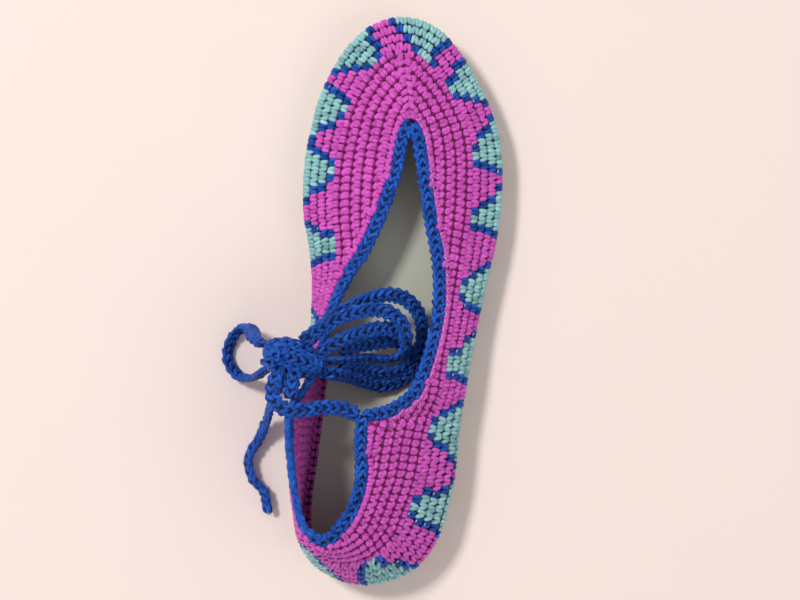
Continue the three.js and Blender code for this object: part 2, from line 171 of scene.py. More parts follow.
class SandalSizes(bpy.types.PropertyGroup):
    """Sizes of the yarn work."""

    stitch_length: FloatProperty(name="Stitch length", description="Pitch of the stitches along a row", default=0.0035, unit="LENGTH")
    band_row: FloatProperty(name="Band row", description="Width of one rope-like row of the band", default=0.0042, unit="LENGTH")
    field_row: FloatProperty(name="Field row", description="Width of one row of the vamp and quarters", default=0.0052, unit="LENGTH")
    band_rows: IntProperty(name="Band rows", description="Rows of the triangle band, the turned-under ones included", default=6)
    chain_length: FloatProperty(name="Chain stitch", description="Pitch of the stitches of the edging and ties", default=0.0038, unit="LENGTH")


class SandalColours(bpy.types.PropertyGroup):
    """Colours of the yarns and the other finishes."""

    magenta: FloatVectorProperty(name="Magenta", description="Main yarn", subtype="COLOR", default=(0.78, 0.118, 0.64))
    blue: FloatVectorProperty(name="Blue", description="Edging, ties and triangle borders", subtype="COLOR", default=(0.004, 0.066, 0.40))
    mint: FloatVectorProperty(name="Mint", description="Triangles", subtype="COLOR", default=(0.34, 0.68, 0.71))
    # Pale also colours the painted glints on the blue stitches.
    pale: FloatVectorProperty(name="Pale", description="Stray pale stitches and painted glints", subtype="COLOR", default=(0.76, 0.60, 0.82))
    lining: FloatVectorProperty(name="Lining", description="Satin insole", subtype="COLOR", default=(0.53, 0.555, 0.455))
    sole: FloatVectorProperty(name="Sole", description="Rubber outsole", subtype="COLOR", default=(0.60, 0.50, 0.38))
    floor: FloatVectorProperty(name="Floor", description="Stage", subtype="COLOR", default=(0.93, 0.80, 0.75))


def scale_free(vectors):
    """Unit vectors."""
    return vectors / np.maximum(np.linalg.norm(vectors, axis=-1, keepdims=True), 1e-12)


def curve_points(points, shares, closed):
    """Points on a centripetal curve through points, at shares of its knots, as the part's curves are made."""
    points = np.asarray(points, float)
    count = len(points)
    if closed:
        at = (np.asarray(shares, float) % 1) * count
        first = np.floor(at).astype(int) % count
        at = at - np.floor(at) + first
        before, start, end, after = (points[(first + k) % count] for k in (-1, 0, 1, 2))
    else:
        at = np.clip(shares, 0, 1) * (count - 1)
        first = np.minimum(np.floor(at).astype(int), count - 2)
        padded = np.vstack([2 * points[0] - points[1], points, 2 * points[-1] - points[-2]])
        before, start, end, after = (padded[first + k] for k in range(4))
    part = (at - first)[:, None]
    knots = [np.sum((b - a) ** 2, axis=1)[:, None] ** 0.25 for a, b in ((before, start), (start, end), (end, after))]
    d0, d1, d2 = knots
    leave = ((start - before) / d0 - (end - before) / (d0 + d1) + (end - start) / d1) * d1
    arrive = ((end - start) / d1 - (after - start) / (d1 + d2) + (after - end) / d2) * d1
    return (start + leave * part + (-3 * start + 3 * end - 2 * leave - arrive) * part ** 2
            + (2 * start - 2 * end + leave + arrive) * part ** 3)


def placed(along, side, up):
    """A point of the part from shares of its length and width."""
    return ((side - MIDDLE_SIDE) * BALL_WIDTH, (along - 0.5) * LENGTH, up)


def rise_height(rise):
    return INSTEP_HEIGHT + (COLLAR_HEIGHT - INSTEP_HEIGHT) * rise


OUTLINE = np.array([placed(row[0], row[1], 0) for row in SECTIONS])
EDGE = np.array([placed(APEX[0], APEX[1], rise_height(APEX[2]))]
                + [placed(row[2], row[3], rise_height(row[4])) for row in SECTIONS if len(row) > 2])
SECTION_COUNT = len(SECTIONS)
EDGE_COUNT = SECTION_COUNT - 2 * RIDGE_ROWS


def smooth(value):
    t = np.clip(value, 0, 1)
    return t * t * (3 - 2 * t)


def sole_top(y):
    """Height of the sole's upper face."""
    share = y / LENGTH + 0.5
    toe = np.maximum(0, (share - TOE_LIFT_START) / (1 - TOE_LIFT_START))
    heel = smooth((HEEL_LIFT_END - share) / (HEEL_LIFT_END - HEEL_LIFT_START))
    return SOLE_THICKNESS + TOE_SPRING * toe ** 2 + HEEL_LIFT * heel


def outline_outward(stations):
    share = stations / SECTION_COUNT
    tangent = scale_free(curve_points(OUTLINE, share + 1e-4, True) - curve_points(OUTLINE, share - 1e-4, True))
    return np.stack([-tangent[:, 1], tangent[:, 0], np.zeros(len(share))], axis=1)


def bulge_points(stations):
    """The fullest points of the sections."""
    points = curve_points(OUTLINE, stations / SECTION_COUNT, True)
    points[:, 2] = sole_top(points[:, 1]) + GAP + BULGE_RISE
    return points


def shoulder_points(bulge, end):
    mix = np.array([SHOULDER_RUN, SHOULDER_RUN, SHOULDER_RISE])
    return bulge + (end - bulge) * mix


def edge_frames(stations):
    """The edging's centre, direction, the way back into the wall and the way out of the surface."""
    share = (stations - RIDGE_ROWS) / EDGE_COUNT
    centre = curve_points(EDGE, share, True)
    tangent = scale_free(curve_points(EDGE, share + 1e-4, True) - curve_points(EDGE, share - 1e-4, True))
    towards = shoulder_points(bulge_points(stations), centre) - centre
    flat = scale_free(np.stack([-tangent[:, 1], tangent[:, 0], np.zeros(len(share))], axis=1))
    run = np.sign(np.sum(towards * flat, axis=1)) * np.hypot(towards[:, 0], towards[:, 1])
    back = flat * run[:, None]
    back[:, 2] = towards[:, 2]
    back = scale_free(back - tangent * np.sum(back * tangent, axis=1, keepdims=True))
    return centre, tangent, back, np.cross(tangent, back)


def wall_edges(stations):
    centre, _, back, outward = edge_frames(stations)
    return centre + back * (EDGING_WIDTH / 2 + GAP) + outward * WALL / 2


def section_ends(stations):
    """Where the sections end: on the ridge over the toes, or at the wall's edge round the opening."""
    from_toe = np.minimum(stations, SECTION_COUNT - stations)
    ends = wall_edges(np.where(from_toe < RIDGE_ROWS, RIDGE_ROWS, stations))
    toe_end = np.array(placed(RIDGE_TOE[0], RIDGE_TOE[1], RIDGE_TOE[2] * INSTEP_HEIGHT))
    share = np.clip(from_toe / RIDGE_ROWS, 0, 1)[:, None]
    ridge = toe_end + (wall_edges(np.array([float(RIDGE_ROWS)])) - toe_end) * share
    return np.where((from_toe <= RIDGE_ROWS)[:, None], ridge, ends)


class Wall:
    """The upper's outer surface, as sections from the sole up to the edging, with distances along them."""

    UNDER = 8
    SIDE = 20

    def __init__(self, per_section):
        self.stations = np.arange(SECTION_COUNT * per_section) / per_section
        bulge = bulge_points(self.stations)
        outward = outline_outward(self.stations)
        end = section_ends(self.stations)
        foot = curve_points(OUTLINE, self.stations / SECTION_COUNT, True) - outward * FEATHER_INSET
        columns = []
        for angle in np.linspace(0, math.pi / 2, self.UNDER, endpoint=False):
            point = foot + outward * FEATHER_INSET * math.sin(angle)
            point[:, 2] = bulge[:, 2] - BULGE_RISE * math.cos(angle)
            columns.append(point)
        lower = bulge.copy()
        lower[:, 2] += LOWER_RISE
        shoulder = shoulder_points(bulge, end)
        for t in np.linspace(0, 1, self.SIDE + 1):
            columns.append(bulge * (1 - t) ** 3 + lower * 3 * t * (1 - t) ** 2
                           + shoulder * 3 * t * t * (1 - t) + end * t ** 3)
        self.points = np.stack(columns, axis=1)
        step = np.linalg.norm(np.diff(self.points, axis=1), axis=2)
        self.distance = np.concatenate([np.zeros((len(step), 1)), np.cumsum(step, axis=1)], axis=1)
        self.length = self.distance[:, -1]
        along = np.roll(self.points, -1, axis=0) - np.roll(self.points, 1, axis=0)
        self.up = scale_free(np.gradient(self.points, axis=1))
        self.outward = scale_free(np.cross(self.up, along))

    def widening(self):
        """How much wider the band's rows are at each section: they fan out round the heel and most at its back."""
        share = curve_points(OUTLINE, self.stations / SECTION_COUNT, True)[:, 1] / LENGTH + 0.5
        round_heel = smooth((HEEL_ROWS_START - share) / (HEEL_ROWS_START - HEEL_ROWS_END))
        return 1 + HEEL_ROWS_WIDER * round_heel + HEEL_BACK_WIDER * smooth(1 - share / HEEL_ROWS_END)

    def reach(self, distance):
        """How far from the sole a row lies on each section: the band's rows widen, those above keep their pitch."""
        band = band_top()
        return min(distance, band) * self.widening() + max(distance - band, 0)

    def row(self, distance):
        """Points, ways up and ways out of one row on every section."""
        reach = self.reach(distance)
        out = []
        for field in (self.points, self.up, self.outward):
            out.append(np.array([[np.interp(reach[i], self.distance[i], field[i, :, axis]) for axis in range(3)]
                                 for i in range(len(self.stations))]))
        return out[0], scale_free(out[1]), scale_free(out[2])


WALL_GRID = Wall(10)

# The first row's distance from the sole, and how deep the wall lies under the band and under the field.
FIRST_ROW = 3.0
BAND_DEPTH = 0.8
FIELD_DEPTH = 0.25


def band_top():
    """Where the band of triangles ends, as a distance from the sole."""
    sizes = bpy.context.scene.sandal_sizes
    return FIRST_ROW + sizes.band_row / MM * (sizes.band_rows - 0.5)


class Strands:
    """A growing list of short plump strands of yarn, each with its place, directions and sizes."""

    def __init__(self, seed):
        self.random = np.random.default_rng(seed)
        self.centres, self.axes, self.normals, self.sizes, self.tints = [], [], [], [], []

    def add(self, centre, axis, normal, size, tint=0.5, jitter=1.0):
        """centre, axis and normal are arrays of vectors, size is (length, width, thickness)."""
        count = len(centre)
        if count == 0:
            return
        noise = self.random.normal(size=(count, 3)) * 0.07 * jitter
        swing = self.random.normal(size=(count, 3)) * 0.06 * jitter
        grow = 1 + self.random.normal(size=(count, 3)) * 0.035 * jitter
        self.centres.append(centre + noise)
        self.axes.append(scale_free(axis + swing))
        self.normals.append(normal)
        self.sizes.append(np.broadcast_to(np.asarray(size, float), (count, 3)) * grow)
        self.tints.append(np.clip(np.broadcast_to(tint, (count,)) + self.random.normal(size=count) * 0.16, 0, 1))

    def mesh(self, name, drop=0.35):
        """One joined mesh of all the strands, copied from one plump template, with a UV map in millimetres."""
        points, faces, corners = strand_template()
        centre, axis = np.concatenate(self.centres), np.concatenate(self.axes)
        normal, size = np.concatenate(self.normals), np.concatenate(self.sizes)
        tint = np.concatenate(self.tints)
        side = scale_free(np.cross(normal, axis))
        normal = np.cross(axis, side)
        half = size / 2
        place = (centre[:, None]
                 + axis[:, None] * (points[None, :, 0:1] * half[:, None, 0:1])
                 + side[:, None] * (points[None, :, 1:2] * half[:, None, 1:2])
                 + normal[:, None] * (points[None, :, 2:3] * half[:, None, 2:3] - drop * points[None, :, 0:1] ** 2))
        count, size_one = len(centre), len(points)
        mesh = bpy.data.meshes.new(name)
        flat = np.concatenate([np.array(face) for face in faces])
        starts = np.cumsum([0] + [len(face) for face in faces[:-1]])
        loops = (flat[None] + np.arange(count)[:, None] * size_one).ravel()
        mesh.vertices.add(count * size_one)
        mesh.vertices.foreach_set("co", (place.reshape(-1) * MM).astype(np.float32))
        mesh.loops.add(len(loops))
        mesh.loops.foreach_set("vertex_index", loops.astype(np.int32))
        mesh.polygons.add(count * len(faces))
        mesh.polygons.foreach_set(
            "loop_start", (starts[None] + np.arange(count)[:, None] * len(flat)).ravel().astype(np.int32))
        mesh.update(calc_edges=True)
        mesh.validate()
        uv = corners[None] * np.stack([half[:, 0], half[:, 1]], axis=1)[:, None]
        uv = uv + self.random.uniform(0, 40, size=(count, 1, 2))
        mesh.uv_layers.new(name="yarn").data.foreach_set("uv", uv.reshape(-1).astype(np.float32))
        attribute = mesh.attributes.new("tint", "FLOAT", "POINT")
        attribute.data.foreach_set("value", np.repeat(tint, size_one).astype(np.float32))
        mesh.polygons.foreach_set("use_smooth", np.ones(len(mesh.polygons), bool))
        return mesh


_template = []


def strand_template():
    """A plump sausage two units long, its faces, and each corner's place along and round it."""
    if _template:
        return _template[0]
    shape = bmesh.new()
    bmesh.ops.create_uvsphere(shape, u_segments=8, v_segments=6, radius=1)
    bmesh.ops.rotate(shape, verts=shape.verts, cent=(0, 0, 0), matrix=Matrix.Rotation(math.pi / 2, 3, "Y"))
    for vert in shape.verts:
        ring = math.hypot(vert.co.y, vert.co.z)
        if ring > 1e-4:
            fuller = {0.5: 0.74, 0.87: 0.97, 1.0: 1.0}[min((0.5, 0.87, 1.0), key=lambda r: abs(r - ring))]
            vert.co.y *= fuller / ring
            vert.co.z *= fuller / ring
    bmesh.ops.recalc_face_normals(shape, faces=shape.faces)
    points = np.array([vert.co[:] for vert in shape.verts])
    faces, corners = [], []
    for face in shape.faces:
        faces.append([vert.index for vert in face.verts])
        middle = math.atan2(face.calc_center_median().z, face.calc_center_median().y)
        for vert in face.verts:
            angle = math.atan2(vert.co.z, vert.co.y) if math.hypot(vert.co.y, vert.co.z) > 1e-4 else middle
            angle = middle + (angle - middle + math.pi) % (2 * math.pi) - math.pi
            corners.append((vert.co.x, angle))
    shape.free()
    _template.append((points, faces, np.array(corners)))
    return _template[0]


def add_object(name, mesh, material, replaced=()):
    """Links a mesh as a piece that rides on the one body."""
    piece = bpy.data.objects.new(name, mesh)
    bpy.context.scene.collection.objects.link(piece)
    mesh.materials.append(material)
    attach(piece, "root")
    if replaced:
        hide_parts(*replaced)
    return piece


# Materials

def new_group(name, inputs, outputs):
    group = bpy.data.node_groups.new(name, "ShaderNodeTree")
    for label, default in inputs:
        socket = group.interface.new_socket(name=label, in_out="INPUT", socket_type="NodeSocketFloat")
        socket.default_value = default
    for label in outputs:
        group.interface.new_socket(name=label, in_out="OUTPUT", socket_type="NodeSocketFloat")
    return group, group.nodes.new("NodeGroupInput"), group.nodes.new("NodeGroupOutput")


def ply_group():
    """Twisted plies and loose fibres of a yarn, from its UV map in millimetres."""
    name = "Yarn plies"
    if name in bpy.data.node_groups:
        return bpy.data.node_groups[name]
    group, entry, leave = new_group(name, (("Ply Scale", 0.42), ("Fibre Scale", 6.0)), ("Ply", "Fibre", "Height"))
    nodes, link = group.nodes, group.links.new
    uv = nodes.new("ShaderNodeUVMap")
    uv.uv_map = "yarn"
    turn = nodes.new("ShaderNodeMapping")
    turn.inputs["Rotation"].default_value[2] = math.radians(-38)
    wave = nodes.new("ShaderNodeTexWave")
    wave.inputs["Distortion"].default_value = 0.6
    wave.inputs["Detail"].default_value = 1.0
    fibre = nodes.new("ShaderNodeTexNoise")
    fibre.inputs["Detail"].default_value = 3.0
    stretch = nodes.new("ShaderNodeMapping")
    stretch.inputs["Rotation"].default_value[2] = math.radians(-38)
    stretch.inputs["Scale"].default_value = (1.0, 0.22, 1.0)
    height = nodes.new("ShaderNodeMath")
    height.operation = "MULTIPLY_ADD"
    height.inputs[1].default_value = 0.45
    link(uv.outputs[0], turn.inputs["Vector"])
    link(turn.outputs[0], wave.inputs["Vector"])
    link(entry.outputs["Ply Scale"], wave.inputs["Scale"])
    link(uv.outputs[0], stretch.inputs["Vector"])
    link(stretch.outputs[0], fibre.inputs["Vector"])
    link(entry.outputs["Fibre Scale"], fibre.inputs["Scale"])
    link(fibre.outputs["Fac"], height.inputs[0])
    link(wave.outputs["Fac"], height.inputs[2])
    link(wave.outputs["Fac"], leave.inputs["Ply"])
    link(fibre.outputs["Fac"], leave.inputs["Fibre"])
    link(height.outputs[0], leave.inputs["Height"])
    return group


def plain_material(name, roughness):
    material = bpy.data.materials.new(name)
    material.use_nodes = True
    shader = material.node_tree.nodes["Principled BSDF"]
    shader.inputs["Roughness"].default_value = roughness
    return material, shader


def yarn_material(name, colour, ply_groove_shade=0.45, light=1.3, gloss=0.32):
    """Cotton yarn: darker between its plies as painted shade, lighter on the ply crests and on some stitches, partly
    random tone per stitch and partly painted highlight, with a fine fibre bump.
    """
    if name in bpy.data.materials:
        return bpy.data.materials[name]
    material, shader = plain_material(name, 0.38)
    nodes, link = material.node_tree.nodes, material.node_tree.links.new
    plies = nodes.new("ShaderNodeGroup")
    plies.node_tree = ply_group()
    tint = nodes.new("ShaderNodeAttribute")
    tint.attribute_name = "tint"
    level = nodes.new("ShaderNodeMath")
    level.operation = "MULTIPLY_ADD"
    level.inputs[1].default_value = 0.5
    half = nodes.new("ShaderNodeMath")
    half.operation = "MULTIPLY"
    half.inputs[1].default_value = 0.5
    ramp = nodes.new("ShaderNodeValToRGB")
    stops = ramp.color_ramp.elements
    stops[0].position, stops[1].position = 0.1, 0.95
    middle = stops.new(0.5)
    colour = np.array(colour)
    # The darkest stop is painted shade in the grooves between the plies.
    stops[0].color = (*np.clip(colour * ply_groove_shade * (colour / colour.max()) ** 0.4, 0, 1), 1)
    middle.color = (*colour, 1)
    # The lightest stop is painted highlight on the ply crests, strongest on the stitches with a high random tint.
    stops[-1].color = (*np.clip(colour * light + 0.02, 0, 1), 1)
    bump = nodes.new("ShaderNodeBump")
    bump.inputs["Strength"].default_value = 0.7
    bump.inputs["Distance"].default_value = 0.00032
    link(tint.outputs["Fac"], half.inputs[0])
    link(plies.outputs["Ply"], level.inputs[0])
    link(half.outputs[0], level.inputs[2])
    link(level.outputs[0], ramp.inputs["Fac"])
    link(ramp.outputs[0], shader.inputs["Base Color"])
    link(plies.outputs["Height"], bump.inputs["Height"])
    link(bump.outputs[0], shader.inputs["Normal"])
    shader.inputs["Sheen Weight"].default_value = 0.03
    shader.inputs["Sheen Roughness"].default_value = 0.4
    shader.inputs["Specular IOR Level"].default_value = gloss
    return material


def grain_material(name, colour, roughness, scale, strength, distance, shift=0.12):
    """A plain finish with a slight cloud of colour and a fine grain in its bump."""
    material, shader = plain_material(name, roughness)
    nodes, link = material.node_tree.nodes, material.node_tree.links.new
    where = nodes.new("ShaderNodeTexCoord")
    cloud = nodes.new("ShaderNodeTexNoise")
    cloud.inputs["Scale"].default_value = 22.0
    cloud.inputs["Detail"].default_value = 4.0
    grain = nodes.new("ShaderNodeTexNoise")
    grain.inputs["Scale"].default_value = scale
    grain.inputs["Detail"].default_value = 3.0
    ramp = nodes.new("ShaderNodeValToRGB")
    colour = np.array(colour)
    ramp.color_ramp.elements[0].color = (*np.clip(colour * (1 - shift), 0, 1), 1)
    ramp.color_ramp.elements[1].color = (*np.clip(colour * (1 + shift), 0, 1), 1)
    bump = nodes.new("ShaderNodeBump")
    bump.inputs["Strength"].default_value = strength
    bump.inputs["Distance"].default_value = distance
    for texture in (cloud, grain):
        link(where.outputs["Object"], texture.inputs["Vector"])
    link(cloud.outputs["Fac"], ramp.inputs["Fac"])
    link(ramp.outputs[0], shader.inputs["Base Color"])
    link(grain.outputs["Fac"], bump.inputs["Height"])
    link(bump.outputs[0], shader.inputs["Normal"])
    return material, shader


def yarns():
    colours = bpy.context.scene.sandal_colours
    return {
        "magenta": yarn_material("Magenta yarn", colours.magenta),
        # Each yarn's factors set its painted shade between the plies and its painted highlight on them.
        "blue": yarn_material("Blue yarn", colours.blue, ply_groove_shade=0.15, light=3.1, gloss=0.22),
        "mint": yarn_material("Mint yarn", colours.mint, ply_groove_shade=0.22, light=1.45),
        # The pale yarn makes the pale dots and also the painted glints on the blue stitches.
        "pale": yarn_material("Pale yarn and glints", colours.pale, ply_groove_shade=0.6, light=1.25),
    }


def gap_shade_material(name, colour):
    """A dark sheet under the stitches, its colour painted shade for the gaps between them."""
    if name in bpy.data.materials:
        return bpy.data.materials[name]
    return grain_material(name, colour, 0.9, 900.0, 0.6, 0.0004, 0.3)[0]


# Paths and chains

def resampled(points, pitch, closed=False):
    """Even places along a line, one pitch apart or a little less or more, as distances along it, with the line's
    running lengths and the count.
    """
    line = np.vstack([points, points[:1]]) if closed else points
    reach = np.concatenate([[0], np.cumsum(np.linalg.norm(np.diff(line, axis=0), axis=1))])
    count = max(1, int(round(reach[-1] / pitch)))
    at = (np.arange(count) + 0.5) * reach[-1] / count
    return at, reach, count


def along_line(at, reach, values, closed=False):
    line = np.vstack([values, values[:1]]) if closed else values
    return np.stack([np.interp(at, reach, line[:, axis]) for axis in range(values.shape[1])], axis=1)


def transported(points, first):
    """Tangents, and normals carried along a line without twist from the first one."""
    tangent = scale_free(np.gradient(points, axis=0))
    normal = np.array(first, float)
    normals = []
    for way in tangent:
        normal = normal - way * normal.dot(way)
        normal = normal / np.linalg.norm(normal)
        normals.append(normal)
    return tangent, np.array(normals)


def chain(strands, points, tangent, across, normal, pitch, width, thickness, closed=False, faces=(1, -1), tint=0.5):
    """A crocheted chain: on each face a V of two strands between two slanting edge strands, with holes between."""
    at, reach, count = resampled(points, pitch, closed)
    centre, way, side, out = (along_line(at, reach, values, closed) for values in (points, tangent, across, normal))
    way, side, out = scale_free(way), scale_free(side), scale_free(out)
    length = reach[-1] / count
    for face in faces:
        for hand in (1, -1):
            middle = centre + side * (hand * width * 0.15) + out * (face * thickness * 0.24)
            strands.add(middle, way + side * (hand * 0.70), scale_free(out * face + side * hand * 0.15),
                        (length * 1.08, width * 0.29, thickness * 0.54), tint, 1.6)
            middle = centre + side * (hand * width * 0.375) + way * length * 0.45 + out * (face * thickness * 0.13)
            strands.add(middle, way - side * (hand * 0.55), scale_free(out * face + side * hand * 0.5),
                        (length * 1.02, width * 0.28, thickness * 0.54), tint, 1.6)
    for hand in (1, -1):
        middle = centre + side * (hand * width * 0.42)
        strands.add(middle, way, side * hand, (length * 1.1, thickness * 0.6, width * 0.15), tint)


def tube_mesh(name, points, normals, across, width, thickness, closed=False, sides=10):
    """A smooth oval tube, its rings bridged, closed at its ends."""
    shape = bmesh.new()
    rings = []
    for i in range(len(points)):
        made = bmesh.ops.create_circle(shape, cap_ends=False, segments=sides, radius=1)
        out, flat = Vector(normals[i]), Vector(across[i])
        for vert in made["verts"]:
            vert.co = (Vector(points[i]) + flat * vert.co.x * width / 2 + out * vert.co.y * thickness / 2) * MM
        rings.append(made["verts"])
    pairs = list(zip(rings, rings[1:] + rings[:1])) if closed else list(zip(rings, rings[1:]))
    for low, high in pairs:
        for a in range(sides):
            b = (a + 1) % sides
            shape.faces.new((low[a], low[b], high[b], high[a]))
    if not closed:
        bmesh.ops.contextual_create(shape, geom=rings[0])
        bmesh.ops.contextual_create(shape, geom=rings[-1])
    bmesh.ops.recalc_face_normals(shape, faces=shape.faces)
    mesh = bpy.data.meshes.new(name)
    shape.to_mesh(mesh)
    shape.free()
    mesh.polygons.foreach_set("use_smooth", np.ones(len(mesh.polygons), bool))
    return mesh


def joined(name, parts):
    """Joins meshes, each with its own material, into one mesh."""
    objects = []
    for mesh, material in parts:
        mesh.materials.append(material)
        piece = bpy.data.objects.new(mesh.name, mesh)
        bpy.context.scene.collection.objects.link(piece)
        objects.append(piece)
    with bpy.context.temp_override(active_object=objects[0], selected_editable_objects=objects):
        bpy.ops.object.join()
    piece = objects[0]
    piece.name = name
    piece.data.name = name
    return piece


def dress(piece, replaced=()):
    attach(piece, "root")
    if replaced:
        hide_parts(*replaced)


class SANDAL_OT_camera(bpy.types.Operator):
    """Sets the camera straight above the sandal"""

    bl_idname = "sandal.camera"
    bl_label = "Camera"

    def execute(self, context):
        data = bpy.data.cameras.new("camera")
        data.lens = 85
        data.sensor_width = 36
        data.clip_end = 10
        camera = bpy.data.objects.new("camera", data)
        context.scene.collection.objects.link(camera)
        height = 0.266 * 800 / 600 * data.lens / data.sensor_width
        camera.location = (0.002, 0.001, height + 0.02)
        camera.rotation_euler = (0, 0, math.radians(3.64))
        context.scene.camera = camera
        return {"FINISHED"}


TIE_FACES = {
    "tie_outer": (0.1, 0, 1), "tie_inner": (-0.3, 0, 1), "loop_outer": (0.2, -0.5, 1), "loop_inner": (0.2, -0.5, 1),
    "loop_middle": (0.2, -0.5, 1),
    "loop_medial": (0.6, 0.3, 1), "end_long": (-0.8, 0.2, 0.6), "end_short": (0.1, -0.4, 1),
}


def tie_line(name):
    """A tie's centre line and directions."""
    route = np.array(TIES[name], float) + TIE_ORIGIN
    points = curve_points(route, np.linspace(0, 1, 12 * len(route)), False)
    tangent, normal = transported(points, TIE_FACES[name])
    across = np.cross(normal, tangent)
    return points, tangent, across, normal


class SANDAL_OT_ties(bpy.types.Operator):
    """Crochets the ties, loops and ends of the bow"""

    bl_idname = "sandal.ties"
    bl_label = "Ties"

    def execute(self, context):
        sizes = context.scene.sandal_sizes
        blue = yarns()["blue"]
        # The ties' dark blue core is painted shade, seen through the holes of the chain.
        dark = gap_shade_material("Blue gap shade", (0.0015, 0.005, 0.05))
        for seed, name in enumerate(TIES):
            points, tangent, across, normal = tie_line(name)
            strands = Strands(100 + seed)
            chain(strands, points, tangent, across, normal, sizes.chain_length / MM, TIE_WIDTH, TIE_THICKNESS)
            core = tube_mesh(name + ".core", points[::2], normal[::2], across[::2], TIE_WIDTH * 0.72, TIE_THICKNESS * 0.5)
            piece = joined("crochet_" + name, [(strands.mesh(name + ".yarn", 0.2), blue), (core, dark)])
            dress(piece, (name,))
        return {"FINISHED"}


class SANDAL_OT_knot(bpy.types.Operator):
    """Winds the knot of the bow"""

    bl_idname = "sandal.knot"
    bl_label = "Knot"

    def execute(self, context):
        sizes = context.scene.sandal_sizes
        blue = yarns()["blue"]
        # The knot's dark blue core is painted shade, seen through the holes of the chain.
        dark = gap_shade_material("Blue gap shade", (0.0015, 0.005, 0.05))
        centre = np.array(KNOT_CENTRE) + TIE_ORIGIN
        turn = np.array(Matrix.Rotation(math.radians(KNOT_TURN), 3, "Z"))
        half = np.array(KNOT_SIZE) / 2 - 1.0
        strands = Strands(200)
        around = np.linspace(0, 2 * math.pi, 60, endpoint=False)
        loops = []
        for lean, share in ((-56, 0.96), (0, 1.0), (56, 0.96)):
            tilt = math.radians(lean)
            loops.append(np.stack([np.cos(around) * half[0] * share, -np.sin(around) * math.sin(tilt) * half[1],
                                   np.sin(around) * math.cos(tilt) * half[2]], axis=1))
        loops.append(np.stack([-6.5 + 0.45 * np.cos(around) * half[1], np.cos(around) * half[1] * 0.98,
                               np.sin(around) * half[2] * 1.06], axis=1))
        for points in loops:
            tangent = scale_free(np.roll(points, -1, axis=0) - np.roll(points, 1, axis=0))
            out = points / half ** 2
            out = scale_free(out - tangent * np.sum(out * tangent, axis=1, keepdims=True))
            points, tangent, out = centre + points @ turn.T, tangent @ turn.T, out @ turn.T
            chain(strands, points, tangent, np.cross(out, tangent), out, sizes.chain_length / MM, TIE_WIDTH, TIE_THICKNESS,
                  closed=True, faces=(1,))
        shape = bmesh.new()
        bmesh.ops.create_uvsphere(shape, u_segments=24, v_segments=14, radius=0.5)
        bmesh.ops.scale(shape, vec=Vector(KNOT_SIZE) * 0.86, verts=shape.verts)
        bmesh.ops.rotate(shape, verts=shape.verts, cent=(0, 0, 0), matrix=Matrix.Rotation(math.radians(KNOT_TURN), 3, "Z"))
        bmesh.ops.translate(shape, vec=Vector(centre), verts=shape.verts)
        bmesh.ops.scale(shape, vec=(MM, MM, MM), verts=shape.verts)
        core = bpy.data.meshes.new("knot.core")
        shape.to_mesh(core)
        shape.free()
        piece = joined("crochet_knot", [(strands.mesh("knot.yarn", 0.3), blue), (core, dark)])
        dress(piece, ("knot",))
        self.declare_cords(piece)
        return {"FINISHED"}

    @staticmethod
    def declare_cords(knot):
        """Does nothing."""


class SANDAL_OT_wall(bpy.types.Operator):
    """Makes the upper's wall, which the stitches stand on"""

    bl_idname = "sandal.wall"
    bl_label = "Upper wall"

    def execute(self, context):
        field = WALL_GRID.distance > WALL_GRID.reach(band_top())[:, None]
        outer = WALL_GRID.points - WALL_GRID.outward * np.where(field, FIELD_DEPTH, BAND_DEPTH)[:, :, None]
        step = 2
        columns = list(range(0, Wall.UNDER, 2)) + list(range(Wall.UNDER, Wall.UNDER + Wall.SIDE + 1))
        grid, field = outer[::step][:, columns], field[::step][:, columns]
        rows, depth = grid.shape[:2]
        shape = bmesh.new()
        bmesh.ops.create_grid(shape, x_segments=rows, y_segments=depth - 1, size=1)
        shape.verts.ensure_lookup_table()
        of_field = {}
        order = sorted(shape.verts, key=lambda v: (round(v.co.x, 4), round(v.co.y, 4)))
        for k, vert in enumerate(order):
            i, j = divmod(k, depth)
            vert.co = Vector(grid[i % rows, j]) * MM
            of_field[vert] = field[i % rows, j]
        for face in shape.faces:
            face.material_index = int(all(of_field[vert] for vert in face.verts))
        bmesh.ops.remove_doubles(shape, verts=shape.verts, dist=0.0002)
        bmesh.ops.recalc_face_normals(shape, faces=shape.faces)
        mesh = bpy.data.meshes.new("upper_wall")
        shape.to_mesh(mesh)
        shape.free()
        mesh.polygons.foreach_set("use_smooth", np.ones(len(mesh.polygons), bool))
        # The wall shows in the gaps between the stitches, and its two colours are painted shade there: dark navy under
        # the band, dark magenta under the field.
        piece = add_object("upper_wall", mesh, gap_shade_material("Band gap shade", (0.022, 0.006, 0.070)), ("upper",))
        mesh.materials.append(gap_shade_material("Magenta gap shade", (0.32, 0.010, 0.20)))
        solid = piece.modifiers.new("Wall", "SOLIDIFY")
        solid.thickness = (WALL - 1.6) * MM
        solid.offset = -1
        return {"FINISHED"}


def runs_of(flags):
    """Stretches of the closed ring of sections where flags hold, as lists of section numbers."""
    count = len(flags)
    if flags.all():
        return [(np.arange(count), True)]
    if not flags.any():
        return []
    start = int(np.argmin(flags))
    order = (np.arange(count) + start) % count
    runs, now = [], []
    for i in order:
        if flags[i]:
            now.append(i)
        elif now:
            runs.append((np.array(now), False))
            now = []
    if now:
        runs.append((np.array(now), False))
    return [run for run in runs if len(run[0]) > 2]


